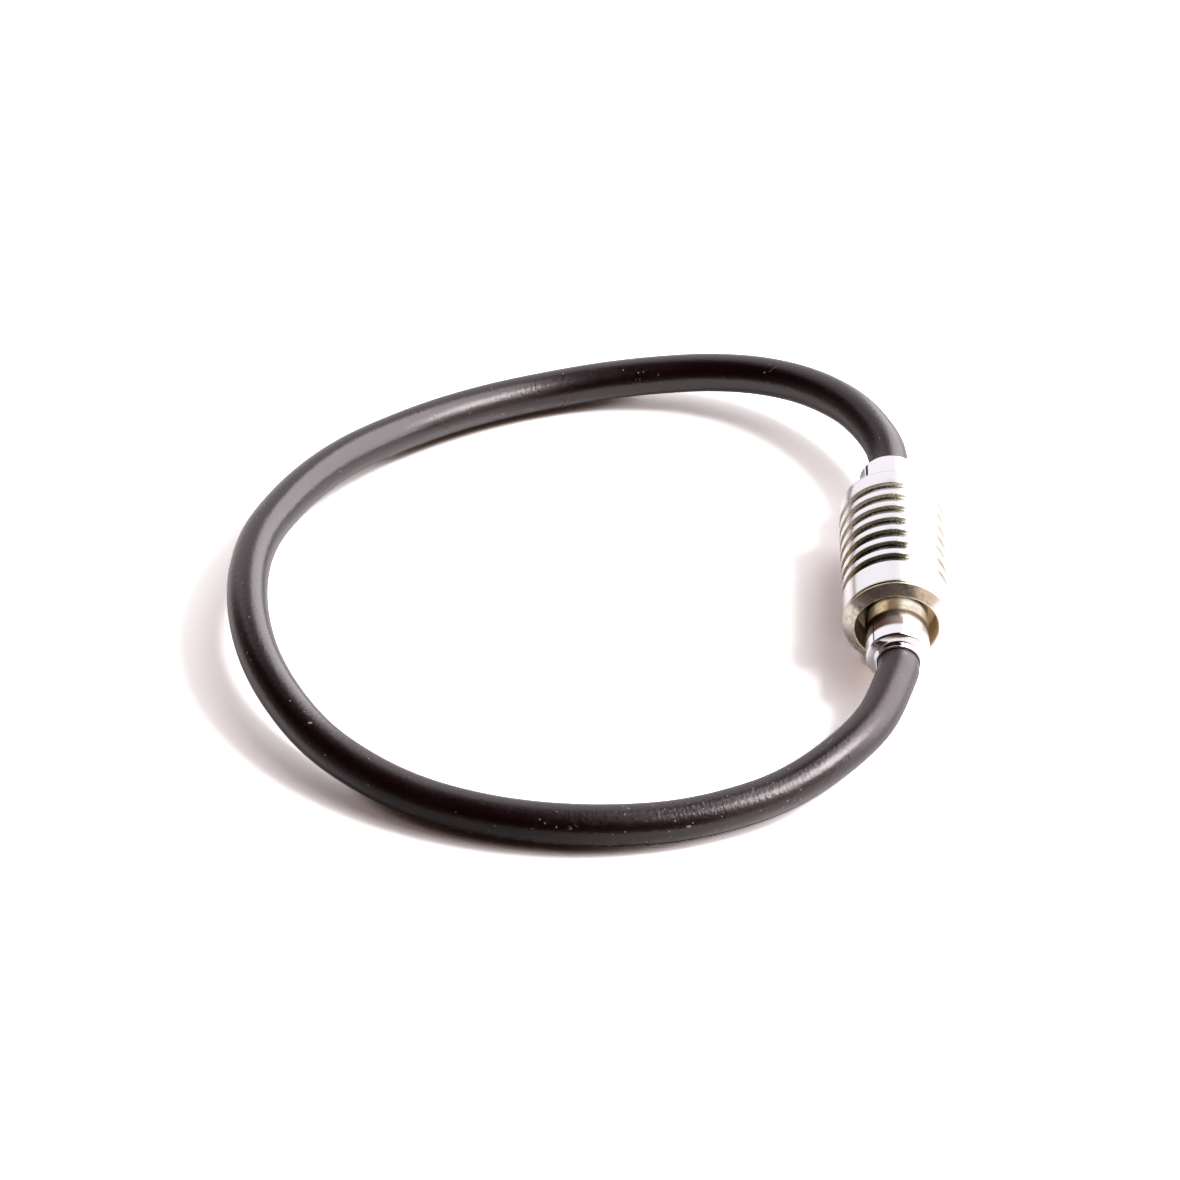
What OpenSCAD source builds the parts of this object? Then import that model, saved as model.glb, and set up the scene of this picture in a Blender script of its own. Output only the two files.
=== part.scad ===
// Bracelet of solid rubber cord with a ribbed, push-in barrel clasp. Millimetres.
// It lies on the plane Z = 0. The clasp's axis runs along Y above the origin,
// the plug ferrule leaves it towards -Y, and the cord's loop lies towards -X.

/* [Barrel] */
// Outer diameter of the ribbed sleeve
barrel_d = 10.6; // [9.8:0.1:14]
// Length of the sleeve between its two end faces
barrel_len = 16.8; // [16.4:0.2:24]
// Thickness of the sleeve's wall round the bores that the end bushes are pressed into
barrel_wall = 0.8; // [0.6:0.05:1]
// Thickness of the wall across the middle of the sleeve, which stops both ferrules
web_t = 1.2; // [0.6:0.1:1.8]
// Bevel on the sleeve's two outer edges
barrel_bevel = 0.2; // [0.05:0.05:0.3]

/* [Grip grooves] */
// Number of grooves round the sleeve
groove_count = 7; // [1:1:7]
// Width of each groove
groove_w = 1.05; // [0.5:0.05:1.3]
// Distance from one groove to the next
groove_pitch = 1.8; // [1.5:0.05:1.9]
// Depth of each groove
groove_depth = 0.4; // [0.1:0.05:0.5]
// Plain band between the plug end of the sleeve and its first groove
plain_band = 3.1; // [1.5:0.1:3.8]

/* [End bushes] */
// Step from the sleeve's edge in to each bush's rim
rim_step = 0.1; // [0.05:0.05:0.3]
// Width of the rim's face, from its outer edge to the recess
rim_face = 1.2; // [1:0.05:1.4]
// Length of the rim's straight edge
rim_t = 0.15; // [0.05:0.05:0.4]
// Rise of the rim's conical face from its outer to its inner edge
rim_rise = 0.8; // [0.2:0.05:1.2]
// Bevel on the rim's inner edge
rim_bevel = 0.15; // [0.05:0.05:0.3]
// Depth of the recess below the sleeve's end face
recess_depth = 2.2; // [1:0.1:3]
// Length of the pressed-in part of the swivel's bush
swivel_bush_len = 5.2; // [4:0.1:5.6]
// Radial clearance between a ferrule and its guide bore
guide_gap = 0.06; // [0.03:0.01:0.1]
// Axial clearance between the barrel's middle wall and what stops against it
stop_gap = 0.1; // [0.05:0.05:0.2]

/* [Ferrules] */
// Diameter of a ferrule's body
ferrule_d = 6.2; // [5.4:0.1:6.6]
// How far a ferrule's lip stands out from the sleeve's end face
ferrule_reach = 6; // [5:0.1:8]
// Wall of the thin lip round the cord's socket
lip_wall = 0.2; // [0.15:0.05:0.5]
// Length of the lip's straight edge
lip_len = 0.6; // [0.15:0.05:0.8]
// Length of the rounded shoulder between body and lip
shoulder_len = 0.45; // [0.3:0.05:1.2]
// Depth of the socket that the cord is glued into
socket_depth = 6; // [4:0.1:7.4]
// Radial room for glue between cord and socket
glue_gap = 0.05; // [0.02:0.01:0.1]
// Bevel on the inner end of the plug
nose_bevel = 0.6; // [0.2:0.1:1]

/* [Latch] */
// Wire diameter of the split latch ring
latch_wire_d = 0.6; // [0.4:0.05:0.7]
// Distance of the latch ring from the sleeve's end face
latch_inset = 4.4; // [3.8:0.1:5.4]
// Depth of the plug's groove for the latch ring
latch_bite = 0.35; // [0.2:0.05:0.4]
// Room all round the latch ring in its two grooves
latch_gap = 0.06; // [0.03:0.01:0.1]
// Opening of the latch ring, in degrees
latch_split = 40; // [20:5:80]

/* [Swivel] */
// Radial room between the retaining ring on the swivel ferrule and the sleeve's bore
clip_room = 0.5; // [0.2:0.1:0.8]
// Thickness of the retaining ring
clip_t = 0.6; // [0.4:0.05:0.8]
// Depth of the ferrule's groove for the retaining ring
clip_bite = 0.5; // [0.3:0.05:0.7]
// Width of the retaining ring's opening
clip_mouth = 3.6; // [2:0.1:4.4]
// Axial clearance between the retaining ring and its bush
clip_gap = 0.1; // [0.05:0.05:0.2]

/* [Cord] */
// Diameter of the solid rubber cord
cord_d = 4; // [3:0.1:4.2]
// Sides of the cord's tube
cord_sides = 12; // [8:1:12]

/* [Hidden] */

$fn = 96;
eps = 0.01;
plug_side = -1;
swivel_side = 1;

// Heights along the axis are measured from the clasp's middle outwards.
axis_z = barrel_d / 2;
bore_r = axis_z - barrel_wall;
half = barrel_len / 2;
tail = web_t / 2 + stop_gap;
lip = half + ferrule_reach;
socket_floor = lip - socket_depth;
rim_r = axis_z - rim_step;
recess_r = rim_r - rim_face;
ferrule_r = ferrule_d / 2;
guide_r = ferrule_r + guide_gap;
socket_r = cord_d / 2 + glue_gap;
lip_r = socket_r + lip_wall;
latch_at = half - latch_inset;
latch_floor_r = ferrule_r - latch_bite;
latch_r = latch_floor_r + latch_gap + latch_wire_d / 2;
latch_space = latch_wire_d + 2 * latch_gap;
latch_room_r = ferrule_r + latch_wire_d + 2 * latch_gap;
clip_at = half - swivel_bush_len - clip_gap - clip_t;
clip_floor_r = ferrule_r - clip_bite;
clip_r = bore_r - clip_room;
shoulder_steps = 6;

// The free cord's route from the plug's lip round to the swivel's: x, y, and
// how far the cord lies above the surface. It rests on it along the near side and
// at one spot of the far side, and rises at the clasp and at the bend opposite.
loop_route = [
    [-0.3, -16.4, 3.2], [-2.5, -21.8, 2.5], [-6.4, -26.1, 1.5], [-11.1, -29.5, 0.6],
    [-16.4, -31.9, 0.2], [-22, -33.4, 0], [-27.9, -34, 0], [-33.8, -33.8, 0],
    [-39.7, -32.8, 0.1], [-45.4, -30.9, 0.3], [-50.5, -28.1, 0.7], [-55.1, -24.4, 1.3],
    [-58.7, -19.9, 2.1], [-61.4, -14.8, 2.9], [-63, -9.2, 3.5], [-63.5, -3.4, 3.7],
    [-62.9, 2.4, 3.4], [-61.1, 8, 2.8], [-58.5, 13.4, 2.1], [-55.1, 18.3, 1.4],
    [-51, 22.5, 0.7], [-46.4, 26, 0.3], [-41.3, 28.8, 0.1], [-35.8, 30.9, 0.1],
    [-30, 32.2, 0.5], [-24.1, 32.7, 1.1], [-18.2, 32.3, 1.9], [-12.7, 30.8, 2.7],
    [-7.7, 28, 3.4], [-3.5, 23.9, 3.8], [-0.7, 18.8, 3.7]
];
cord_route = concat(
    [[0, plug_side * socket_floor, axis_z], [0, plug_side * lip, axis_z]],
    rounded([for (p = loop_route) [p[0], p[1], cord_d / 2 + p[2]]]),
    [[0, swivel_side * lip, axis_z], [0, swivel_side * socket_floor, axis_z]]
);

// The points p with one more between each two, on a smooth curve through them,
// and never lower than the cord's own radius.
function rounded(p) = [for (i = [0 : len(p) - 1]) each
    i == len(p) - 1 ? [p[i]] :
    let (a = p[max(i - 1, 0)], d = p[min(i + 2, len(p) - 1)],
         m = (9 * (p[i] + p[i + 1]) - a - d) / 16)
    [p[i], [m[0], m[1], max(m[2], cord_d / 2)]]];

// Puts a turned piece, drawn standing on the clasp's middle, along the axis.
module on_axis(side) {
    translate([0, 0, axis_z]) rotate([-90 * side, 0, 0]) children();
}

// A ring of rectangular section from z to z + h.
module ring(z, h, inner_r, outer_r) {
    translate([0, 0, z]) difference() {
        cylinder(h = h, r = outer_r);
        translate([0, 0, -eps]) cylinder(h = h + 2 * eps, r = inner_r);
    }
}

module bore(from, to, r) {
    translate([0, 0, from]) cylinder(h = to - from, r = r);
}

// Sleeve with a blind bore from each end and its grip grooves.
module barrel() {
    body = [[0, -half], [axis_z - barrel_bevel, -half], [axis_z, barrel_bevel - half],
            [axis_z, half - barrel_bevel], [axis_z - barrel_bevel, half], [0, half]];
    color([0.86, 0.86, 0.88]) on_axis(swivel_side) difference() {
        rotate_extrude() polygon(body);
        bore(web_t / 2, half + eps, bore_r);
        bore(-half - eps, -web_t / 2, bore_r);
        for (i = [0 : groove_count - 1])
            ring(plain_band - half + i * groove_pitch, groove_w,
                 axis_z - groove_depth, axis_z + 1);
    }
}

// Pressed-in bush from local height foot, with a recess and a rim with a conical face.
module end_bush(foot) {
    top = half + rim_t;
    crown = top + rim_rise;
    rotate_extrude() polygon([
        [guide_r, foot], [bore_r, foot], [bore_r, half], [rim_r, half], [rim_r, top],
        [recess_r + rim_bevel, crown], [recess_r, crown - rim_bevel],
        [recess_r, half - recess_depth], [guide_r, half - recess_depth]]);
}

// Bush of the plug end, with an inner groove that the latch ring opens into.
module latch_bush() {
    color([0.80, 0.74, 0.64]) on_axis(plug_side) difference() {
        end_bush(web_t / 2 + stop_gap);
        ring(latch_at - latch_space / 2, latch_space, guide_r - eps, latch_room_r);
    }
}

module swivel_bush() {
    color([0.80, 0.74, 0.64]) on_axis(swivel_side) end_bush(half - swivel_bush_len);
}

// Split ring of round wire, seated in the plug's groove.
module latch_ring() {
    color([0.62, 0.63, 0.66]) on_axis(plug_side) translate([0, 0, latch_at])
        rotate([0, 0, latch_split / 2]) rotate_extrude(angle = 360 - latch_split)
            translate([latch_r, 0]) circle(d = latch_wire_d, $fn = 24);
}

// Flat open ring, clipped into the swivel ferrule's groove behind its bush.
module retaining_ring() {
    color([0.62, 0.63, 0.66]) on_axis(swivel_side) difference() {
        ring(clip_at, clip_t, clip_floor_r, clip_r);
        translate([0, -clip_mouth / 2, clip_at - eps])
            cube([clip_r + 1, clip_mouth, clip_t + 2 * eps]);
    }
}

// Turned ferrule from local height tail to its lip, with the cord's socket.
module ferrule(bevel) {
    lip_foot = lip - lip_len;
    drop = ferrule_r - lip_r;
    shoulder = [for (i = [0 : shoulder_steps]) let (a = 90 * i / shoulder_steps)
                [lip_r + drop * cos(a), lip_foot - shoulder_len * (1 - sin(a))]];
    difference() {
        rotate_extrude() polygon(concat(
            [[0, tail], [ferrule_r - bevel, tail], [ferrule_r, tail + bevel]],
            shoulder,
            [[lip_r, lip], [0, lip]]));
        bore(socket_floor, lip + eps, socket_r);
    }
}

module plug_ferrule() {
    color([0.84, 0.84, 0.86]) on_axis(plug_side) difference() {
        ferrule(nose_bevel);
        ring(latch_at - latch_space / 2, latch_space, latch_floor_r, ferrule_r + 1);
    }
}

module swivel_ferrule() {
    color([0.84, 0.84, 0.86]) on_axis(swivel_side) difference() {
        ferrule(barrel_bevel);
        ring(clip_at, clip_t, clip_floor_r, ferrule_r + 1);
    }
}

// The direction of the route at point i, and the ring of the tube there.
function unit(v) = v / norm(v);
function heading(p, i) = unit(p[min(i + 1, len(p) - 1)] - p[max(i - 1, 0)]);
function tube_ring(c, t, r, n) =
    let (side = unit(cross(t, [0, 0, 1])), up = cross(side, t))
    [for (k = [0 : n - 1]) c + r * (cos(90 + 360 * k / n) * side + sin(90 + 360 * k / n) * up)];

// Tube of radius r and n sides that follows the points p, closed at both ends.
module tube(p, r, n) {
    last = (len(p) - 1) * n;
    points = [for (i = [0 : len(p) - 1]) each tube_ring(p[i], heading(p, i), r, n)];
    walls = [for (i = [0 : len(p) - 2], k = [0 : n - 1])
             let (a = i * n + k, b = i * n + (k + 1) % n)
             each [[a, a + n, b + n], [a, b + n, b]]];
    caps = concat([for (k = [1 : n - 2]) [0, k, k + 1]],
                  [for (k = [1 : n - 2]) [last, last + k + 1, last + k]]);
    polyhedron(points = points, faces = concat(walls, caps));
}

module cord() {
    color([0.09, 0.09, 0.10]) tube(cord_route, cord_d / 2, cord_sides);
}

barrel();
latch_bush();
swivel_bush();
latch_ring();
retaining_ring();
plug_ferrule();
swivel_ferrule();
cord();
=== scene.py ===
import math

import bmesh
import bpy
from bpy.props import FloatProperty, FloatVectorProperty, IntProperty, PointerProperty
from mathutils import Matrix, Vector


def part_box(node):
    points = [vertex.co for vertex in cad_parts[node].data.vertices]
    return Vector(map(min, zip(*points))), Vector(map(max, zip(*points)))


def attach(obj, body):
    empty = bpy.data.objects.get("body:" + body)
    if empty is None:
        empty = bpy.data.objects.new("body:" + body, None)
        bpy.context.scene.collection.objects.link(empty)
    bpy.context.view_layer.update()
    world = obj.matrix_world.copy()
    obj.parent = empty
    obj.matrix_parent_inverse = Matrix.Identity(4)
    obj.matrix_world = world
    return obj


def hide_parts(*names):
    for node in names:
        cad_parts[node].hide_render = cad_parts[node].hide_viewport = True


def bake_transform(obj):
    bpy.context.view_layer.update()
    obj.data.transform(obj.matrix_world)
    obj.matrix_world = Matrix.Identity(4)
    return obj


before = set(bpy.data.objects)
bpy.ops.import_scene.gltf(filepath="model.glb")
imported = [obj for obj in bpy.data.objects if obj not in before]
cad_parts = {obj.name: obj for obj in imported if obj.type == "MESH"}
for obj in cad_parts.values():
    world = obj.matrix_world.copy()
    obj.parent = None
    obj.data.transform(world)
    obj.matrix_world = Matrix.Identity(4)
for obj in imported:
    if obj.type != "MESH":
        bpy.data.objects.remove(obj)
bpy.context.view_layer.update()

bl_info = {
    "name": "Cord Bracelet with Barrel Clasp",
    "version": (1, 0, 0),
    "blender": (4, 5, 0),
    "location": "3D View > Sidebar > Bracelet",
    "description": "Builds a rubber cord bracelet, its turned clasp and the table they lie on",
    "category": "Add Mesh",
}

# The clasp's axis runs along Y at this height, and the sleeve is centred on Y = 0.
SLEEVE_LOW, SLEEVE_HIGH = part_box("barrel")
AXIS_Z = (SLEEVE_LOW[2] + SLEEVE_HIGH[2]) / 2
SLEEVE_LENGTH = SLEEVE_HIGH[1] - SLEEVE_LOW[1]
SLEEVE_DIAMETER = SLEEVE_HIGH[2] - SLEEVE_LOW[2]
PLUG_LIP = -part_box("plug_ferrule")[0][1]
PLUG_SIDE, SWIVEL_SIDE = -1, 1

MM = 0.001
AROUND = 144
CORNER_STEPS = 4
LONGEST_SOFT = 0.45  # the share of a side that a softened corner may take up
SHARP_ANGLE = math.radians(40)
WELD, SLIVER = 1e-7, 1e-8
WHITE = (1.0, 1.0, 1.0)
UNLIT = (0.0, 0.0, 0.0, 1.0)

CAMERA_PLACE = (-0.02171, -0.30915, 0.27029)
CAMERA_FORWARD = (-0.02028, 0.75444, -0.65606)
CAMERA_ANGLE = math.radians(16.30)
CAMERA_CLIP = (0.01, 20.0)
TABLE_PLACE = (-0.03, 0.0, -0.00002)
LAMP_TOWARD = (0.637, 0.077, 0.767)
LAMP_COLOUR = (1.0, 0.985, 0.97)

# The loop, taken as round, for the lines across the cord.
LOOP_MIDDLE_X, LOOP_RADIUS = -0.031, 0.034

# Free cord from the plug's lip to the swivel's: x, y and how far it lies above the table.
LOOP_ROUTE = (
    (-0.0003, -0.0164, 0.0032), (-0.0025, -0.0218, 0.0025), (-0.0064, -0.0261, 0.0015),
    (-0.0111, -0.0295, 0.0006), (-0.0164, -0.0319, 0.0002), (-0.0220, -0.0334, 0.0),
    (-0.0279, -0.0340, 0.0), (-0.0338, -0.0338, 0.0), (-0.0397, -0.0328, 0.0001),
    (-0.0454, -0.0309, 0.0003), (-0.0505, -0.0281, 0.0007), (-0.0551, -0.0244, 0.0013),
    (-0.0587, -0.0199, 0.0021), (-0.0614, -0.0148, 0.0029), (-0.0630, -0.0092, 0.0035),
    (-0.0635, -0.0034, 0.0037), (-0.0629, 0.0024, 0.0034), (-0.0611, 0.0080, 0.0028),
    (-0.0585, 0.0134, 0.0021), (-0.0551, 0.0183, 0.0014), (-0.0510, 0.0225, 0.0007),
    (-0.0464, 0.0260, 0.0003), (-0.0413, 0.0288, 0.0001), (-0.0358, 0.0309, 0.0001),
    (-0.0300, 0.0322, 0.0005), (-0.0241, 0.0327, 0.0011), (-0.0182, 0.0323, 0.0019),
    (-0.0127, 0.0308, 0.0027), (-0.0077, 0.0280, 0.0034), (-0.0035, 0.0239, 0.0038),
    (-0.0007, 0.0188, 0.0037),
)


def length_value(name, description, default):
    return FloatProperty(name=name, description=description, default=default, min=0.0,
                         unit="LENGTH", subtype="DISTANCE", precision=5)


def share_value(name, description, default):
    return FloatProperty(name=name, description=description, default=default, min=0.0,
                         max=1.0, subtype="FACTOR")


def colour_value(name, description, default):
    return FloatVectorProperty(name=name, description=description, default=default, size=3,
                               min=0.0, max=1.0, subtype="COLOR")


class CordSettings(bpy.types.PropertyGroup):
    diameter: length_value("Diameter", "Diameter of the solid rubber cord", 4 * MM)
    socket_depth: length_value("Socket depth", "Length of cord glued into each ferrule", 6 * MM)
    sides: IntProperty(name="Sides", description="Faces round the cord", default=40, min=8)
    steps: IntProperty(name="Steps", description="Rings between two points of the route",
                       default=8, min=2)
    rubber: colour_value("Rubber", "Colour of the rubber", (0.0070, 0.0008, 0.0014))
    bloom: colour_value("Bloom", "Grey bloom on the rubber near the clasp",
                        (0.028, 0.016, 0.020))
    dust: colour_value("Dust", "Colour of lint and dust on the rubber", (0.50, 0.48, 0.46))
    roughness: share_value("Roughness", "Roughness of clean rubber", 0.22)


class ClaspSettings(bpy.types.PropertyGroup):
    wall: length_value("Sleeve wall", "Thickness of the sleeve's wall", 0.8 * MM)
    web: length_value("Middle wall", "Thickness of the wall across the sleeve", 1.2 * MM)
    bevel: length_value("Bevel", "Bevel on the sleeve's outer edges", 0.2 * MM)
    softness: length_value("Edge softness", "Rounding of the turned edges", 0.06 * MM)
    groove_count: IntProperty(name="Grooves", description="Number of grip grooves", default=7)
    groove_width: length_value("Groove width", "Width of each grip groove", 1.05 * MM)
    groove_pitch: length_value("Groove pitch", "From one groove to the next", 1.8 * MM)
    groove_depth: length_value("Groove depth", "Depth of each grip groove", 0.4 * MM)
    plain_band: length_value("Plain band", "From the plug end to the first groove", 3.1 * MM)
    rim_step: length_value("Rim step", "Step from the sleeve's edge to the rim", 0.1 * MM)
    rim_face: length_value("Rim face", "Width of the rim's conical face", 1.2 * MM)
    rim_edge: length_value("Rim edge", "Length of the rim's straight edge", 0.15 * MM)
    rim_rise: length_value("Rim rise", "Rise of the rim's conical face", 0.8 * MM)
    rim_bevel: length_value("Rim bevel", "Bevel on the rim's inner edge", 0.15 * MM)
    recess: length_value("Recess", "Depth of the recess round each ferrule", 2.2 * MM)
    swivel_bush: length_value("Swivel bush", "Length pressed in at the swivel end", 5.2 * MM)
    guide_gap: length_value("Guide gap", "Clearance round a ferrule", 0.06 * MM)
    stop_gap: length_value("Stop gap", "Clearance at the middle wall", 0.1 * MM)
    ferrule: length_value("Ferrule", "Diameter of a ferrule's body", 6.2 * MM)
    lip_length: length_value("Lip", "Length of the lip round the cord", 0.6 * MM)
    shoulder: length_value("Shoulder", "Length of the rounded shoulder", 0.45 * MM)
    lip_wall: length_value("Lip wall", "Wall of the lip round the socket", 0.2 * MM)
    glue_gap: length_value("Glue gap", "Room for glue round the cord", 0.05 * MM)
    nose: length_value("Nose bevel", "Bevel on the plug's inner end", 0.6 * MM)
    latch_inset: length_value("Latch inset", "From the end face to the latch ring", 4.4 * MM)
    latch_wire: length_value("Latch wire", "Wire diameter of the latch ring", 0.6 * MM)
    latch_bite: length_value("Latch bite", "Depth of the plug's latch groove", 0.35 * MM)
    latch_gap: length_value("Latch gap", "Room round the latch ring", 0.06 * MM)
    clip_gap: length_value("Clip gap", "From the bush to the retaining ring", 0.1 * MM)
    clip_thickness: length_value("Clip", "Thickness of the retaining ring", 0.6 * MM)
    clip_bite: length_value("Clip bite", "Depth of the retaining ring's groove", 0.5 * MM)
    steel: colour_value("Steel", "Colour of the polished sleeve", (0.94, 0.92, 0.94))
    warm_steel: colour_value("Bush steel", "Colour of the end bushes", (0.88, 0.84, 0.78))
    spring_steel: colour_value("Spring steel", "Colour of the inner rings", (0.56, 0.57, 0.60))
    tarnish: colour_value("Tarnish", "Golden film left in the recesses", (0.90, 0.72, 0.44))
    stain: colour_value("Stain", "Brown stains on the end bushes", (0.30, 0.15, 0.05))
    # Painted shade on the ferrule in the recess: its paler, lit right.
    recess_shade_pale: colour_value("Pale film", "Film on the ferrule in the recess", (0.46, 0.41, 0.38))
    # Painted shade in the depth and on the left of the recesses.
    recess_shade_deep: colour_value("Deep grime", "Dark film in the depth of the recesses",
                             (0.075, 0.026, 0.006))
    # Painted glow: emitted light standing in for the light caught in the recesses and the
    # window's light there.
    caught: colour_value("Caught light", "Golden light that the recess throws to and fro",
                         (1.0, 0.74, 0.44))
    caught_white: colour_value("Caught window", "The window's light in the recess",
                               (1.0, 0.93, 0.82))
    # Painted reflection: a warm tint low on the sleeve's left.
    low_left_reflection: colour_value("Side film", "Film low on the sleeve's left", (0.72, 0.50, 0.38))
    # Painted shade and reflection in the grooves, part tarnish and grime: the olive of their
    # sides and the near-black of their floors.
    groove_tarnish_and_shade: colour_value("Groove film", "Film on the grooves' sides", (0.58, 0.57, 0.32))
    grime: colour_value("Grime", "Grime on the grooves' floors", (0.03, 0.022, 0.004))


class StageSettings(bpy.types.PropertyGroup):
    table: colour_value("Table", "Colour of the table", (0.80, 0.78, 0.785))
    table_size: length_value("Table size", "Side of the table", 1.6)
    lamp_power: FloatProperty(name="Lamp", description="Power of the lamp", default=1.6,
                              min=0.0, unit="POWER")
    lamp_distance: length_value("Lamp distance", "From the bracelet to the lamp", 0.6)
    lamp_size: length_value("Lamp size", "Diameter of the lamp", 0.16)
    back_wall: colour_value("Back wall", "The bright wall behind the bracelet",
                            (1.0, 0.97, 1.0))
    left_wall: colour_value("Left wall", "The wall on the left", (0.20, 0.15, 0.135))
    front: colour_value("Front", "The room in front, near the table's height",
                        (0.12, 0.075, 0.062))
    dark: colour_value("Dark", "The room in front, higher up", (0.014, 0.006, 0.005))
    window_frame: colour_value("Window frame", "The window's frame", (0.75, 0.62, 0.50))
    daylight_room: colour_value("Room light", "Light that the dim room gives",
                                (0.105, 0.076, 0.070))
    daylight_wall: colour_value("Wall light", "Light that the wall behind gives",
                                (0.36, 0.33, 0.33))
    # Painted contact shadow on the table, and how far it reaches.
    contact_shadow: colour_value("Contact line", "Colour of the dark line under the cord",
                               (0.40, 0.26, 0.19))
    contact: length_value("Contact", "Reach of the dark line where the cord touches the table",
                          1.3 * MM)
    glare: FloatProperty(name="Glare", description="How much brighter than its paper the lit "
                         "table looks", default=3.1, min=1.0)
    # Painted light: lightens the cord's shadow on the table where the cord stands clear of it.
    under_cord_lightening: FloatProperty(name="Lifted glare", description="How much brighter still the "
                                "table looks where the cord stands clear of it", default=1.9,
                                min=1.0)
    sheen: FloatProperty(name="Sheen", description="How much brighter than its paper the "
                         "table looks in the metal", default=1.8, min=1.0)
    window: FloatProperty(name="Window", description="Brightness of the window in reflections",
                          default=4.2, min=0.0)
    pane: FloatProperty(name="Pane", description="How much brighter than the window its far "
                        "pane is", default=4.6, min=1.0)
    daylight: FloatProperty(name="Daylight", description="Light that the window gives",
                            default=1.6, min=0.0)


class Wire:
    """A node's output that adds Math nodes when it meets an operator."""

    def __init__(self, graph, socket):
        self.graph, self.socket = graph, socket

    def math(self, operation, *values):
        return self.graph.add("ShaderNodeMath", {"operation": operation},
                              dict(enumerate(values)))

    def __add__(self, other):
        return self.math("ADD", self, other)

    def __sub__(self, other):
        return self.math("SUBTRACT", self, other)

    def __rsub__(self, other):
        return self.math("SUBTRACT", other, self)

    def __mul__(self, other):
        return self.math("MULTIPLY", self, other)

    def __truediv__(self, other):
        return self.math("DIVIDE", self, other)

    def __pow__(self, other):
        return self.math("POWER", self, other)

    __radd__, __rmul__ = __add__, __mul__

    def size(self):
        return self.math("ABSOLUTE", self)

    def at_least(self, other):
        return self.math("MAXIMUM", self, other)

    def at_most(self, other):
        return self.math("MINIMUM", self, other)

    def rise(self, low, high):
        """0 below low, 1 above high, and smooth between; low may be the greater."""
        return self.graph.add("ShaderNodeMapRange", {"interpolation_type": "SMOOTHSTEP"},
                              {"Value": self, "From Min": low, "From Max": high})

    def within(self, start, full, fading, end):
        """1 from full to fading, 0 outside start and end, and smooth between."""
        return self.rise(start, full) * self.rise(end, fading)


class Graph:
    """The node tree of one material or of the world."""

    def __init__(self, owner):
        owner.use_nodes = True
        self.tree = owner.node_tree
        self.tree.nodes.clear()

    def add(self, kind, settings=None, values=None, output=0):
        """Adds a node, sets it up, and returns one of its outputs."""
        node = self.tree.nodes.new(kind)
        for key, setting in (settings or {}).items():
            if key == "stops":
                ramp = node.color_ramp
                for place, colour in setting[len(ramp.elements):]:
                    ramp.elements.new(place)
                for stop, (place, colour) in zip(ramp.elements, setting):
                    stop.position, stop.color = place, colour
            else:
                setattr(node, key, setting)
        for key, value in (values or {}).items():
            if isinstance(value, Wire):
                self.tree.links.new(value.socket, node.inputs[key])
            else:
                node.inputs[key].default_value = value
        return Wire(self, node.outputs[output])

    def colours(self, share, first, second):
        """first, with a share of second mixed in."""
        values = [(*v[:3], 1.0) if isinstance(v, tuple) else v for v in (first, second)]
        return self.add("ShaderNodeMix", {"data_type": "RGBA"},
                        {0: share, 6: values[0], 7: values[1]}, output=2)

    def noise(self, place, scale, detail=2.0, roughness=0.5, distortion=0.0):
        return self.add("ShaderNodeTexNoise", None,
                        {"Vector": place, "Scale": scale, "Detail": detail,
                         "Roughness": roughness, "Distortion": distortion})

    def stretched(self, place, scale, turn=(0.0, 0.0, 0.0)):
        return self.add("ShaderNodeMapping", None,
                        {"Vector": place, "Rotation": turn, "Scale": scale})

    def parts(self, vector):
        node = self.add("ShaderNodeSeparateXYZ", None, {0: vector}).socket.node
        return [Wire(self, out) for out in node.outputs]

    def specks(self, place, scale, size, share):
        """1 on small dots: one cell in share has one where the surface meets its heart."""
        cell = self.add("ShaderNodeTexVoronoi", {"feature": "F1"},
                        {"Vector": place, "Scale": scale}, output="Distance")
        chance = self.parts(Wire(self, cell.socket.node.outputs["Color"]))[0]
        return cell.rise(size, size * 0.6) * chance.rise(1 - share, 1 - share + 0.02)

    def bump(self, height, distance, strength=1.0):
        return self.add("ShaderNodeBump", None,
                        {"Height": height, "Distance": distance, "Strength": strength})

    def rays(self):
        """1 on what the camera sees by itself, and 1 on what it sees in a reflection."""
        seen = self.add("ShaderNodeLightPath", output="Is Camera Ray")
        return seen, Wire(self, seen.socket.node.outputs["Is Glossy Ray"])

    def mixed(self, share, first, second):
        """first, with a share of the shader second."""
        return self.add("ShaderNodeMixShader", None, {0: share, 1: first, 2: second})

    def diffuse(self, colour):
        return self.add("ShaderNodeBsdfDiffuse", None, {"Color": colour})

    def finish(self, surface):
        kind = "World" if surface.socket.node.type == "BACKGROUND" else "Material"
        node = self.tree.nodes.new("ShaderNodeOutput" + kind)
        self.tree.links.new(surface.socket, node.inputs["Surface"])


def object_place(graph):
    return graph.add("ShaderNodeTexCoord", output="Object")


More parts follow.
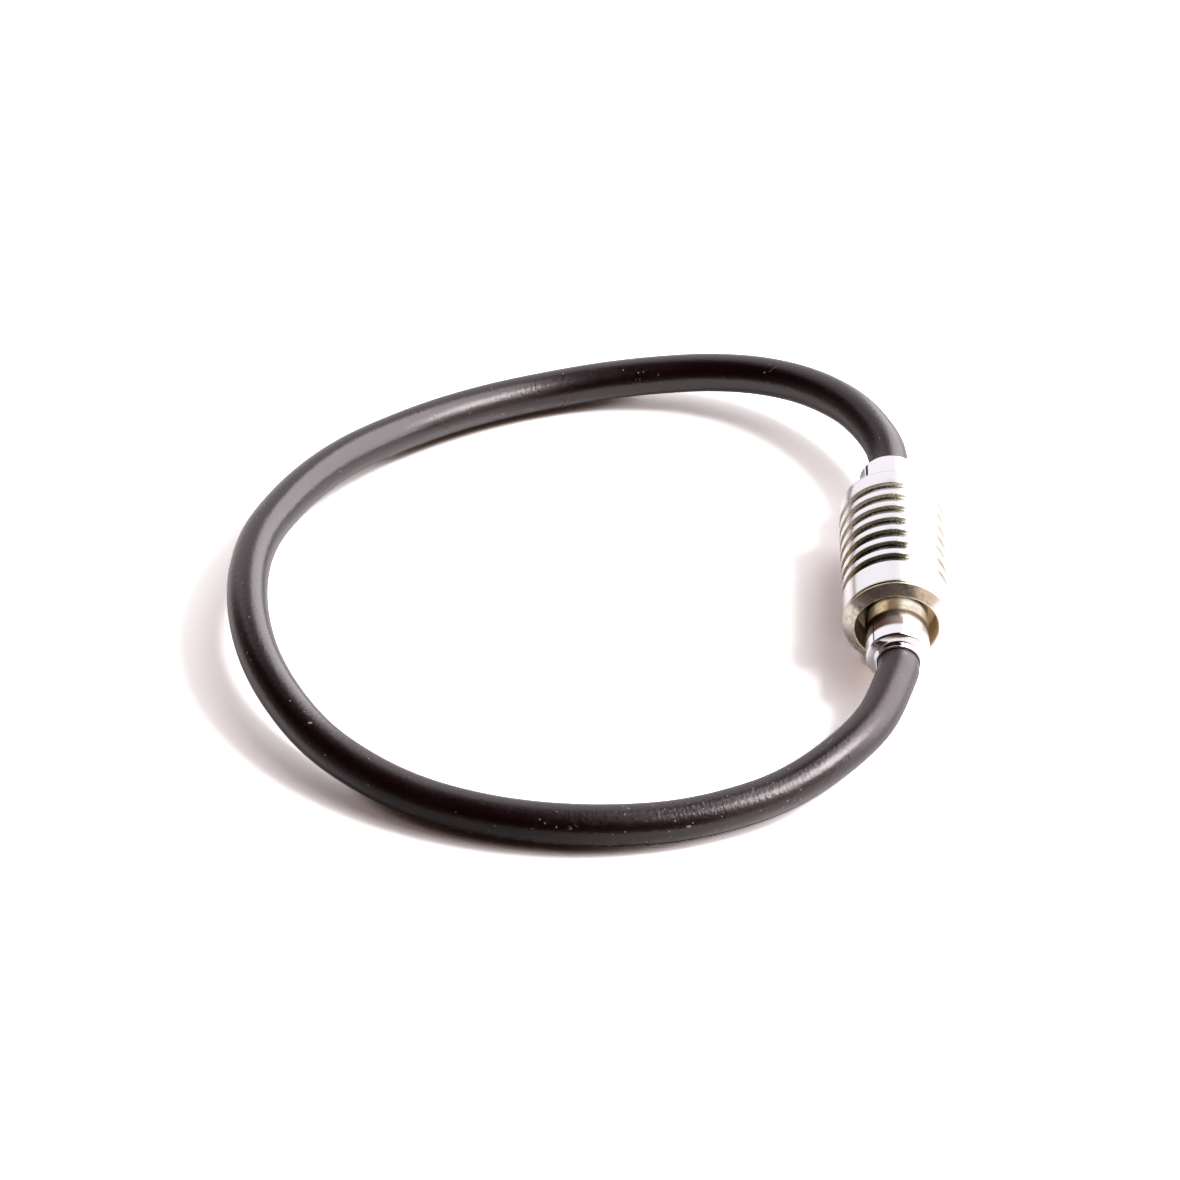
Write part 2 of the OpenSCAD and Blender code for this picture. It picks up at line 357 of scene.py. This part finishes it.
def cord_rubber(settings):
    """Matt black rubber: a fine skin with lines across it, dull patches, dust and lint."""
    material = bpy.data.materials.new("cord_rubber")
    graph = Graph(material)
    place = object_place(graph)
    x, y, z = graph.parts(place)
    # Fine lines across the cord: a bearing round the loop's middle runs along the cord.
    bearing = y.math("ARCTAN2", y, x - LOOP_MIDDLE_X)
    along = graph.add("ShaderNodeCombineXYZ", None, {0: bearing * LOOP_RADIUS, 1: z * 0.25})
    lines = graph.noise(along, 3400.0, 2.0, 0.6)
    skin = graph.noise(place, 2600.0, 3.0, 0.6)
    patches = graph.noise(place, 190.0, 3.0)
    dulled = graph.noise(place, 55.0, 2.0).rise(0.48, 0.66)
    # Most lint has gathered on one stretch.
    stretch = x.within(-0.038, -0.028, -0.012, -0.004) * y.rise(-0.020, -0.028)
    common = stretch * 0.30 + 0.08
    dust = graph.specks(place, 1900.0, 0.17, common)
    grit = graph.specks(graph.stretched(place, (0.5, 1.0, 1.0), (0.3, 0.2, 0.6)),
                        900.0, 0.13, common * 0.7)
    crumbs = graph.specks(graph.stretched(place, (1.0, 1.0, 0.5), (0.9, 0.1, 0.2)),
                          620.0, 0.10, common * 0.5)
    curl = graph.noise(place, 560.0, 1.0, 0.4, 1.2)
    hair = (curl - 0.5).size().rise(0.007, 0.003)
    hair = hair * graph.specks(place, 430.0, 0.34, common * 0.8)
    dirt = (dust + grit + crumbs + hair).at_most(1.0)
    # Bloom and the marks of hands lie near the plug.
    plug_end = y.rise(0.006, -0.010)
    bloom = x.rise(-0.026, -0.004) * plug_end * (patches * 0.8 + 0.3)
    handled = x.rise(-0.006, -0.001) * plug_end
    rubber = graph.colours((bloom + dulled * 0.15).at_most(1.0), tuple(settings.rubber),
                           tuple(settings.bloom))
    surface = graph.add("ShaderNodeBsdfPrincipled", None, {
        "Base Color": graph.colours(dirt * 0.7, rubber, tuple(settings.dust)),
        "Roughness": patches * 0.08 + dulled * 0.04 + dirt * 0.3 + handled * 0.12
        + settings.roughness,
        "Normal": graph.bump(skin + lines * 0.6 + patches * 0.5 + dirt, 0.035 * MM, 0.8),
        "IOR": 1.75,
        "Specular IOR Level": 0.5,
        "Specular Tint": (1.0, 0.91, 0.94, 1.0),
    })
    graph.finish(surface)
    return material


def turned_steel(name, colour, polish, film, ring_depth=0.0006 * MM, crust=0.0):
    """Polished turned metal. crust is how much of its film hides the metal, as dirt does.

    film takes the graph, the place, its distance from the clasp's axis and x and y. It returns
    the film's colour and share, which in places are painted shade or highlight, how dull the
    metal is, and a painted glow (emission) for the light caught in its recesses.
    """
    material = bpy.data.materials.new(name)
    graph = Graph(material)
    place = object_place(graph)
    x, y, z = graph.parts(place)
    z = z - AXIS_Z
    radius = (x * x + z * z) ** 0.5
    tool = graph.add("ShaderNodeCombineXYZ", None, {0: y, 1: radius})
    rings = graph.noise(tool, 9000.0, 2.0)
    smudges = graph.noise(place, 420.0, 4.0, 0.6, 0.4)
    scuffs = graph.noise(graph.stretched(place, (1.0, 0.12, 1.0), (0.2, 0.4, 0.3)), 5200.0)
    film_colour, share, dullness, glow = film(graph, place, radius, x, y)
    share = share * (smudges.rise(0.15, 0.60) * 0.5 + 0.5)
    surface = graph.add("ShaderNodeBsdfPrincipled", None, {
        "Base Color": graph.colours(share, tuple(colour), film_colour),
        "Metallic": 1 - share * crust,
        "Roughness": smudges.rise(0.5, 0.8) * 0.05 + scuffs.rise(0.62, 0.75) * 0.06
        + dullness + polish,
        "Normal": graph.bump(rings + scuffs.rise(0.6, 0.8) * 0.6, ring_depth, 1.0),
        "Emission Color": glow,
        "Emission Strength": 1.0,
    })
    graph.finish(surface)
    return material


def spring_steel(s):
    """Drawn wire and stamped sheet: dull, with fine lines round the ring."""
    def film(graph, place, radius, x, y):
        share = radius.rise(3.1 * MM, 2.7 * MM) * 0.35
        return tuple(s.tarnish), share, share * 0.2, UNLIT

    return turned_steel("spring_steel", s.spring_steel, 0.24, film, 0.0014 * MM)


def plug_half(y):
    """1 on the plug's half of the clasp."""
    return y.rise(0.001, -0.001)


def sleeve_steel(s):
    """The brightest steel: tarnish, grime and painted shade in its grooves, and a film at its
    near edge.
    """
    half, floor = SLEEVE_LENGTH / 2, SLEEVE_DIAMETER / 2 - s.groove_depth

    def film(graph, place, radius, x, y):
        # The grooves are darkened, part tarnish and grime, part painted shade and reflection of
        # the dark room: darkest on their floors and towards the plug end.
        grooves = radius.rise(floor + 0.38 * MM, floor + 0.25 * MM)
        # Painted highlight: the grooves' film is left off under the window's bright stripe along
        # the top.
        highlight_stripe = x.within(0.6 * MM, 1.4 * MM, 3.6 * MM, 4.6 * MM)
        near = y.rise(8 * MM, -3 * MM) * 0.75 + 0.25
        bottoms = radius.rise(floor + 0.16 * MM, floor + 0.02 * MM) * near
        film_colour = graph.colours(bottoms, tuple(s.groove_tarnish_and_shade), tuple(s.grime))
        # Painted reflection: a warm tint on the grooves' left ends, where the metal mirrors the
        # table and the cord's shadow.
        low_left = x.rise(-3.6 * MM, -4.9 * MM) * 0.5
        film_colour = graph.colours(low_left, film_colour, tuple(s.low_left_reflection))
        seam = y.size().rise(half - 0.42 * MM, half - 0.20 * MM) * 0.75 * plug_half(y)
        # Painted highlight: the grooves' film thins out on the right, towards the window.
        lighter_on_right = 1 - x.rise(2.8 * MM, 3.6 * MM) * 0.45
        share = (grooves * (near * 0.58 + 0.36) * lighter_on_right).at_least(seam) * (1 - highlight_stripe)
        return film_colour, share, grooves * 0.06, UNLIT

    return turned_steel("barrel_steel", s.steel, 0.21, film)


def bush_steel(s):
    """Warmer steel, stained on its rim, with painted shade, golden tarnish and a painted glow in
    its recess.
    """
    half = SLEEVE_LENGTH / 2
    recess = SLEEVE_DIAMETER / 2 - s.rim_step - s.rim_face

    def film(graph, place, radius, x, y):
        hollow = radius.rise(recess + 0.08 * MM, recess + 0.02 * MM)
        mottle = graph.noise(place, 1700.0, 2.0, 0.5).rise(0.38, 0.68)
        floor = y.size().rise(half - s.recess + 0.3 * MM, half - s.recess)
        right = x.rise(-2.5 * MM, 3.0 * MM)
        # Painted shade in the recess: dark on its left walls, golden tarnish on its lit right
        # and half of it on its floor.
        recess_colour = graph.colours((floor * 0.5).at_least(right), tuple(s.recess_shade_deep),
                             tuple(s.tarnish))
        worn = graph.colours(mottle, tuple(s.tarnish), tuple(s.stain))
        # The rim's mottled stain is real, but it thins out towards the right and the far left: a
        # painted highlight where the rim mirrors the window and the table.
        stain_and_highlight_share = (mottle * 0.35 + 0.28) * x.rise(4.0 * MM, 1.6 * MM) * plug_half(y)
        stain_and_highlight_share = stain_and_highlight_share * (x.rise(-4.4 * MM, -2.6 * MM) * 0.5 + 0.5)
        share = hollow * 0.95 + (1 - hollow) * stain_and_highlight_share
        patch = x.within(-0.3 * MM, 0.7 * MM, 2.2 * MM, 3.0 * MM)
        # Painted glow: emitted golden light stands in for light caught in the recess.
        caught = hollow * plug_half(y) * (1.1 - mottle * 0.7)
        caught = caught * (floor * (patch * 0.05 + 0.010) + right * 0.006)
        glow = graph.colours(caught, UNLIT, tuple(s.caught))
        return graph.colours(hollow, worn, recess_colour), share, hollow * 0.10 + 0.08, glow

    return turned_steel("bush_steel", s.warm_steel, 0.12, film, 0.0012 * MM, 0.55)


def ferrule_steel(s):
    """Smooth steel. Where the plug stands in the recess it has painted shade, and a painted band
    of light.
    """
    half = SLEEVE_LENGTH / 2

    def film(graph, place, radius, x, y):
        out_of = (y + half) * -1
        # Painted shade: the ferrule in and near the recess is darkened, dark on its left and
        # paler on its lit right.
        sunk = out_of.within(-2.4 * MM, -2.0 * MM, 3.35 * MM, 3.95 * MM)
        right = x.rise(-2.0 * MM, 1.2 * MM)
        film_colour = graph.colours(right, tuple(s.recess_shade_deep), tuple(s.recess_shade_pale))
        share = sunk * (1.75 - x.rise(-1.2 * MM, 1.2 * MM) * 0.65)
        # Painted glow: an emitted band of light on the ferrule just outside the sleeve,
        # brightest on the right.
        band = out_of.within(-0.3 * MM, 0.3 * MM, 1.25 * MM, 1.75 * MM)
        patch = x.within(-0.3 * MM, 0.7 * MM, 2.1 * MM, 2.9 * MM)
        side = x.within(-2.4 * MM, -1.8 * MM, -1.5 * MM, -0.8 * MM)
        spots = graph.noise(place, 1100.0, 2.0, 0.5, 0.8).rise(0.30, 0.70)
        caught = band * x.rise(-3.0 * MM, -2.0 * MM) * (spots * 0.5 + 0.75)
        caught = caught * (patch * 0.7 + side * 0.4 + 0.22)
        light = graph.colours(patch, tuple(s.caught), tuple(s.caught_white))
        return film_colour, share, sunk * 0.08, graph.colours(caught, UNLIT, light)

    return turned_steel("ferrule_steel", s.steel, 0.06, film, crust=0.15)


def rounded(corners, closed):
    """The outline through corners of (radius, height, softness), with its corners softened."""
    points = []
    last = len(corners) - 1
    for i, (radius, height, soft) in enumerate(corners):
        here = Vector((radius, height))
        if soft <= 0 or (not closed and i in (0, last)):
            points.append(here)
            continue
        ends = []
        for j in (i - 1, (i + 1) % len(corners)):
            away = Vector(corners[j][:2]) - here
            ends.append(here + away.normalized() * min(soft, away.length * LONGEST_SOFT))
        for k in range(CORNER_STEPS + 1):
            t = k / CORNER_STEPS
            points.append(ends[0] * (1 - t) ** 2 + here * (2 * t * (1 - t)) + ends[1] * t * t)
    return points


def link(name, bm, material):
    """Makes a smooth-shaded object from bm, with its hard edges kept."""
    bmesh.ops.remove_doubles(bm, verts=bm.verts, dist=WELD)
    bmesh.ops.recalc_face_normals(bm, faces=bm.faces)
    for face in bm.faces:
        face.smooth = True
    for edge in bm.edges:
        edge.smooth = edge.calc_face_angle(0.0) < SHARP_ANGLE
    mesh = bpy.data.meshes.new(name)
    bm.to_mesh(mesh)
    bm.free()
    mesh.materials.append(material)
    piece = bpy.data.objects.new(name, mesh)
    bpy.context.scene.collection.objects.link(piece)
    return piece


def turned(name, corners, side, material, closed=False):
    """A turned piece from its outline, whose heights run outwards from the clasp's middle."""
    outline = rounded(corners, closed)
    bm = bmesh.new()
    rows = []
    for k in range(AROUND):
        angle = 2 * math.pi * k / AROUND
        rows.append([bm.verts.new((p.x * math.sin(angle), side * p.y,
                                   AXIS_Z + p.x * math.cos(angle))) for p in outline])
    count = len(outline)
    spans = count if closed else count - 1
    for k in range(AROUND):
        here, following = rows[k], rows[(k + 1) % AROUND]
        for i in range(spans):
            j = (i + 1) % count
            bm.faces.new((here[i], here[j], following[j], following[i]))
    bmesh.ops.dissolve_degenerate(bm, dist=SLIVER, edges=bm.edges)
    piece = link(name, bm, material)
    shading = piece.modifiers.new("flat faces stay flat", "WEIGHTED_NORMAL")
    shading.keep_sharp = True
    return piece


def sleeve_corners(s):
    half, out = SLEEVE_LENGTH / 2, SLEEVE_DIAMETER / 2
    bore, floor, soft = out - s.wall, out - s.groove_depth, s.softness
    corners = [(0, -s.web / 2, 0), (bore, -s.web / 2, soft), (bore, -half, soft),
               (out, -half, s.bevel)]
    for i in range(s.groove_count):
        start = s.plain_band - half + i * s.groove_pitch
        end = start + s.groove_width
        corners += [(out, start, soft), (floor, start, soft * 2),
                    (floor, end, soft * 2), (out, end, soft)]
    return corners + [(out, half, s.bevel), (bore, half, soft), (bore, s.web / 2, soft),
                      (0, s.web / 2, 0)]


def bush_corners(s, foot, room=None):
    """Section of an end bush. room is the (height, width, radius) of an inner groove."""
    half, soft = SLEEVE_LENGTH / 2, s.softness
    bore = SLEEVE_DIAMETER / 2 - s.wall
    rim = SLEEVE_DIAMETER / 2 - s.rim_step
    recess = rim - s.rim_face
    guide = s.ferrule / 2 + s.guide_gap
    top = half + s.rim_edge
    crown, round_edge = top + s.rim_rise, s.rim_bevel * 0.8
    corners = [(guide, foot, soft), (bore, foot, soft), (bore, half, 0),
               (rim, half, soft / 3), (rim, top, soft / 2),
               (recess + s.rim_bevel, crown, round_edge),
               (recess, crown - s.rim_bevel, round_edge),
               (recess, half - s.recess, soft * 4), (guide, half - s.recess, soft)]
    if room:
        height, width, radius = room
        corners += [(guide, height + width / 2, 0), (radius, height + width / 2, 0),
                    (radius, height - width / 2, 0), (guide, height - width / 2, 0)]
    return corners


def ferrule_corners(s, cord, bevel, ring_groove):
    """Section of a ferrule. ring_groove is its (lowest height, highest height, floor)."""
    out, soft = s.ferrule / 2, s.softness
    socket = cord.diameter / 2 + s.glue_gap
    lip = socket + s.lip_wall
    foot = PLUG_LIP - s.lip_length
    inner = s.web / 2 + s.stop_gap
    low, high, floor = ring_groove
    # The shoulder rounds over from edge to the lip's foot, and the lip ends in a bead.
    edge, bead = foot - s.shoulder * 0.58, s.lip_length * 0.45
    return [(0, inner, 0), (out - bevel, inner, soft), (out, inner + bevel, soft),
            (out, low, soft), (floor, low, soft), (floor, high, soft), (out, high, soft),
            (out, edge, s.shoulder * 0.4), (lip + soft, foot, soft * 2),
            (lip - s.lip_wall * 0.2, foot + bead * 0.3, soft), (lip, PLUG_LIP - bead, soft),
            (lip, PLUG_LIP, bead * 0.4), (socket, PLUG_LIP, soft / 2),
            (socket, PLUG_LIP - cord.socket_depth, soft), (0, PLUG_LIP - cord.socket_depth, 0)]


def through(points, steps):
    """A smooth curve through points, with steps pieces between each two."""
    curve = []
    last = len(points) - 1
    for i in range(last):
        a, b = points[max(i - 1, 0)], points[i]
        c, d = points[i + 1], points[min(i + 2, last)]
        for k in range(steps):
            t = k / steps
            curve.append(0.5 * (2 * b + (c - a) * t + (2 * a - 5 * b + 4 * c - d) * t * t
                                + (3 * b - a - 3 * c + d) * t ** 3))
    return curve + [points[last]]


class BRACELET_OT_camera(bpy.types.Operator):
    """Add the camera that looks down along the clasp"""
    bl_idname = "bracelet.camera"
    bl_label = "Camera"

    def execute(self, context):
        data = bpy.data.cameras.new("camera")
        data.sensor_width = 36.0
        data.angle = CAMERA_ANGLE
        data.clip_start, data.clip_end = CAMERA_CLIP
        camera = bpy.data.objects.new("camera", data)
        forward = Vector(CAMERA_FORWARD).normalized()
        right = forward.cross(Vector((0, 0, 1))).normalized()
        up = right.cross(forward)
        turn = Matrix((right, up, -forward)).transposed()
        camera.matrix_world = Matrix.Translation(CAMERA_PLACE) @ turn.to_4x4()
        context.scene.collection.objects.link(camera)
        context.scene.camera = camera
        return {"FINISHED"}


class BRACELET_OT_cord(bpy.types.Operator):
    """Add the rubber cord from one ferrule round to the other"""
    bl_idname = "bracelet.cord"
    bl_label = "Cord"

    def execute(self, context):
        s = context.scene.bracelet_cord
        radius = s.diameter / 2
        floor = PLUG_LIP - s.socket_depth
        ends = [Vector((0, side * at, AXIS_Z)) for side, at in
                ((PLUG_SIDE, floor), (PLUG_SIDE, PLUG_LIP),
                 (SWIVEL_SIDE, PLUG_LIP), (SWIVEL_SIDE, floor))]
        loop = [Vector((x, y, radius + lift)) for x, y, lift in LOOP_ROUTE]
        line = through(ends[:2] + loop + ends[2:], s.steps)
        for point in line:
            point.z = max(point.z, radius)
        bm = bmesh.new()
        rows = []
        for i, point in enumerate(line):
            ahead = line[min(i + 1, len(line) - 1)] - line[max(i - 1, 0)]
            side = ahead.cross(Vector((0, 0, 1))).normalized()
            up = side.cross(ahead).normalized()
            rows.append([bm.verts.new(point + radius * (math.cos(a) * side + math.sin(a) * up))
                         for a in (2 * math.pi * k / s.sides for k in range(s.sides))])
        for here, following in zip(rows, rows[1:]):
            for k in range(s.sides):
                j = (k + 1) % s.sides
                bm.faces.new((here[k], here[j], following[j], following[k]))
        bm.faces.new(rows[0])
        bm.faces.new(list(reversed(rows[-1])))
        cord = link("rubber_cord", bm, cord_rubber(s))
        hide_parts("cord")
        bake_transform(cord)
        length = sum((b - a).length for a, b in zip(line, line[1:]))
        return {"FINISHED"}


class BRACELET_OT_sleeve(bpy.types.Operator):
    """Add the clasp's ribbed sleeve"""
    bl_idname = "bracelet.sleeve"
    bl_label = "Sleeve"

    def execute(self, context):
        s = context.scene.bracelet_clasp
        sleeve = turned("barrel_sleeve", sleeve_corners(s), SWIVEL_SIDE, sleeve_steel(s))
        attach(sleeve, "barrel")
        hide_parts("barrel")
        return {"FINISHED"}


class BRACELET_OT_bushes(bpy.types.Operator):
    """Add the two bushes pressed into the sleeve's ends"""
    bl_idname = "bracelet.bushes"
    bl_label = "End bushes"

    def execute(self, context):
        s = context.scene.bracelet_clasp
        half = SLEEVE_LENGTH / 2
        steel = bush_steel(s)
        room = (half - s.latch_inset, s.latch_wire + 2 * s.latch_gap,
                s.ferrule / 2 + s.latch_wire + 2 * s.latch_gap)
        for name, node, side, foot, groove in (
                ("latch_bush_rim", "latch_bush", PLUG_SIDE, s.web / 2 + s.stop_gap, room),
                ("swivel_bush_rim", "swivel_bush", SWIVEL_SIDE, half - s.swivel_bush, None)):
            bush = turned(name, bush_corners(s, foot, groove), side, steel, True)
            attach(bush, "barrel")
            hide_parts(node)
        return {"FINISHED"}


class BRACELET_OT_ferrules(bpy.types.Operator):
    """Add the plug and swivel ferrules that the cord is glued into"""
    bl_idname = "bracelet.ferrules"
    bl_label = "Ferrules"

    def execute(self, context):
        s, cord = context.scene.bracelet_clasp, context.scene.bracelet_cord
        half, out = SLEEVE_LENGTH / 2, s.ferrule / 2
        steel = ferrule_steel(s)
        latch = half - s.latch_inset
        width = s.latch_wire / 2 + s.latch_gap
        clip = half - s.swivel_bush - s.clip_gap
        for name, node, body, side, bevel, groove in (
                ("plug_ferrule_body", "plug_ferrule", "plug", PLUG_SIDE, s.nose,
                 (latch - width, latch + width, out - s.latch_bite)),
                ("swivel_ferrule_body", "swivel_ferrule", "loop", SWIVEL_SIDE, s.bevel,
                 (clip - s.clip_thickness, clip, out - s.clip_bite))):
            ferrule = turned(name, ferrule_corners(s, cord, bevel, groove), side, steel)
            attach(ferrule, body)
            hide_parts(node)
        return {"FINISHED"}


class BRACELET_OT_rings(bpy.types.Operator):
    """Give the latch ring and the retaining ring their spring steel"""
    bl_idname = "bracelet.rings"
    bl_label = "Inner rings"

    def execute(self, context):
        steel = spring_steel(context.scene.bracelet_clasp)
        for node in ("latch_ring", "retaining_ring"):
            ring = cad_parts[node]
            ring.data.materials.clear()
            ring.data.materials.append(steel)
        return {"FINISHED"}


def table_surface(settings):
    """Smooth white table. It keeps the bracelet's shadow, looks white where it is lit, and has a
    painted contact shadow.
    """
    def lighter(colour, times):
        return tuple(channel * times for channel in colour)

    material = bpy.data.materials.new("table")
    graph = Graph(material)
    x, y, _ = graph.parts(object_place(graph))
    # Painted contact shadow: brown where the cord nearly touches the table, from ambient
    # occlusion.
    touching = graph.add("ShaderNodeAmbientOcclusion", None, {"Distance": settings.contact},
                         output="AO")
    # Towards the clasp the cord stands clear of the table: there the painted contact shadow is
    # left off, and the table is painted lighter, a painted lightening of the cord's shadow.
    lifted_and_lightened = x.rise(-0.002, 0.014) * y.rise(-0.018, -0.026)
    clear = (touching.rise(0.25, 0.75) + lifted_and_lightened).at_most(1.0)
    glare = lighter(settings.table, settings.glare)
    lit = graph.colours(lifted_and_lightened, glare, lighter(glare, settings.under_cord_lightening))
    lit = graph.colours(clear, tuple(settings.contact_shadow), lit)
    # In the metal the table is bright near the clasp and in front, and dim on the left.
    near = x.rise(-0.010, 0.020).at_least(y.rise(-0.036, -0.026))
    shine = graph.colours(near, lighter(settings.table, 0.5),
                          lighter(settings.table, settings.sheen))
    polish = graph.add("ShaderNodeBsdfGlossy", None, {"Roughness": 0.35})
    in_metal = graph.mixed(0.2, graph.diffuse(shine), polish)
    seen, glossy = graph.rays()
    paper = graph.diffuse((*settings.table, 1.0))
    graph.finish(graph.mixed(seen, graph.mixed(glossy, paper, in_metal), graph.diffuse(lit)))
    return material


def studio(settings):
    """World: a tall window on the right, a bright wall behind and a dim room in front."""
    world = bpy.data.worlds.new("studio")
    bpy.context.scene.world = world
    graph = Graph(world)
    x, y, z = graph.parts(graph.add("ShaderNodeTexCoord", output="Generated"))
    flat = (x * x + y * y + 1e-6) ** 0.5

    def past(degrees, soft=0.08):
        """1 clockwise of a bearing. 0 is behind the bracelet, and 90 on its right."""
        angle = math.radians(degrees)
        return ((x * math.cos(angle) - y * math.sin(angle)) / flat).rise(-soft, soft)

    def between(start, end, soft=0.08):
        return past(start, soft) * (1 - past(end, soft))

    room = graph.colours(z.rise(0.10, 0.35), tuple(settings.front), tuple(settings.dark))
    room = graph.colours(between(-120, -40, 0.2) * z.rise(0.60, 0.15), room,
                         tuple(settings.left_wall))
    room = graph.colours(between(-52, 30) * z.rise(0.90, 0.68), room, tuple(settings.back_wall))
    high = z.rise(0.99, 0.95) * z.rise(-0.06, 0.06)
    frame_side = between(112, 148, 0.12) * high
    lit = graph.colours(frame_side, room, tuple(settings.window_frame))
    window = between(17, 112, 0.06) * high
    pane = between(108, 128, 0.05) * z.rise(0.55, 0.68) * z.rise(0.96, 0.91)
    lit = graph.colours(window, lit, (settings.window,) * 3)
    lit = graph.colours(pane, lit, (settings.window * settings.pane,) * 3)
    daylight = graph.colours(between(-75, 30), tuple(settings.daylight_room),
                             tuple(settings.daylight_wall))
    daylight = graph.colours(window, daylight, (settings.daylight,) * 3)
    seen, glossy = graph.rays()
    light = graph.colours(glossy, daylight, lit)
    graph.finish(graph.add("ShaderNodeBackground", None,
                           {"Color": graph.colours(seen, light, WHITE)}))


class BRACELET_OT_stage(bpy.types.Operator):
    """Add the white table, the lamp and the soft light round it"""
    bl_idname = "bracelet.stage"
    bl_label = "Stage"

    def execute(self, context):
        s = context.scene.bracelet_stage
        bm = bmesh.new()
        bmesh.ops.create_grid(bm, x_segments=1, y_segments=1, size=s.table_size / 2)
        mesh = bpy.data.meshes.new("table")
        bm.to_mesh(mesh)
        bm.free()
        mesh.materials.append(table_surface(s))
        table = bpy.data.objects.new("table", mesh)
        table.location = TABLE_PLACE
        context.scene.collection.objects.link(table)
        toward = Vector(LAMP_TOWARD).normalized()
        data = bpy.data.lights.new("lamp", "AREA")
        data.shape, data.size, data.energy = "DISK", s.lamp_size, s.lamp_power
        data.color = LAMP_COLOUR
        lamp = bpy.data.objects.new("lamp", data)
        lamp.location = Vector((TABLE_PLACE[0], 0.0, 0.0)) + toward * s.lamp_distance
        lamp.rotation_euler = toward.to_track_quat("Z", "Y").to_euler()
        lamp.visible_glossy = False
        context.scene.collection.objects.link(lamp)
        studio(s)
        context.scene.view_settings.view_transform = "Standard"
        return {"FINISHED"}


OPERATORS = (BRACELET_OT_camera, BRACELET_OT_cord, BRACELET_OT_sleeve, BRACELET_OT_bushes,
             BRACELET_OT_ferrules, BRACELET_OT_rings, BRACELET_OT_stage)
SETTINGS = (("bracelet_cord", CordSettings), ("bracelet_clasp", ClaspSettings),
            ("bracelet_stage", StageSettings))


class VIEW3D_PT_bracelet(bpy.types.Panel):
    bl_label = "Bracelet"
    bl_idname = "VIEW3D_PT_bracelet"
    bl_space_type = "VIEW_3D"
    bl_region_type = "UI"
    bl_category = "Bracelet"

    def draw(self, context):
        column = self.layout.column()
        for operator in OPERATORS:
            column.operator(operator.bl_idname)
        for name, group in SETTINGS:
            settings = getattr(context.scene, name)
            box = self.layout.box()
            for key in group.__annotations__:
                box.prop(settings, key)


CLASSES = tuple(group for name, group in SETTINGS) + OPERATORS + (VIEW3D_PT_bracelet,)


def register():
    for cls in CLASSES:
        bpy.utils.register_class(cls)
    for name, group in SETTINGS:
        setattr(bpy.types.Scene, name, PointerProperty(type=group))


def unregister():
    for name, group in SETTINGS:
        delattr(bpy.types.Scene, name)
    for cls in reversed(CLASSES):
        bpy.utils.unregister_class(cls)


def main():
    register()
    for operator in OPERATORS:
        getattr(bpy.ops.bracelet, operator.bl_idname.split(".")[1])()


if __name__ == "__main__":
    main()
